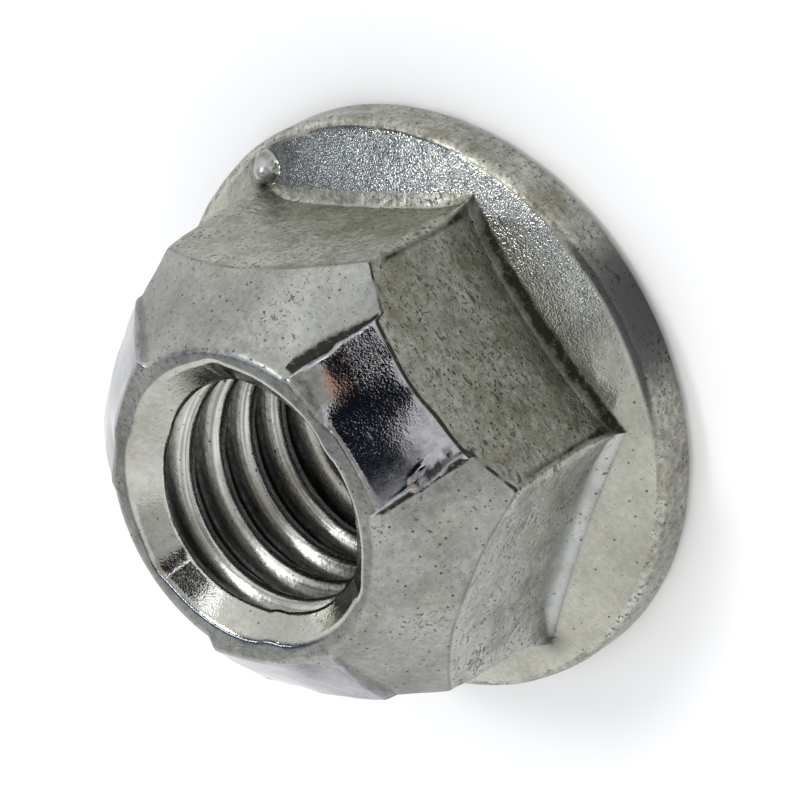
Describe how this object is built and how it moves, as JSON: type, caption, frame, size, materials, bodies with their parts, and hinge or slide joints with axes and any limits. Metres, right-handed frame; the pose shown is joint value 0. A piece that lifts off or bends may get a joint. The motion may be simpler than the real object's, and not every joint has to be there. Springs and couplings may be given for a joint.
{
  "type": "hexagon flange nut",
  "caption": "Prevailing-torque hexagon flange nut with a pressed cone above the hexagon and a serrated bearing face that bites against loosening.",
  "frame": {"origin": "centre of the bearing face, on the thread axis", "axes": "+Z along the thread axis, from the bearing face to the cone; +X through a corner of the hexagon"},
  "size_m": [0.0218, 0.0218, 0.0114],
  "materials": {
    "zinc_plated_steel": "zinc-plated cold-forged steel, satin grey with fine forging pits, polished on the pressed pads"
  },
  "bodies": {
    "root": {"flange_nut": "zinc_plated_steel"}
  },
  "joints": []
}
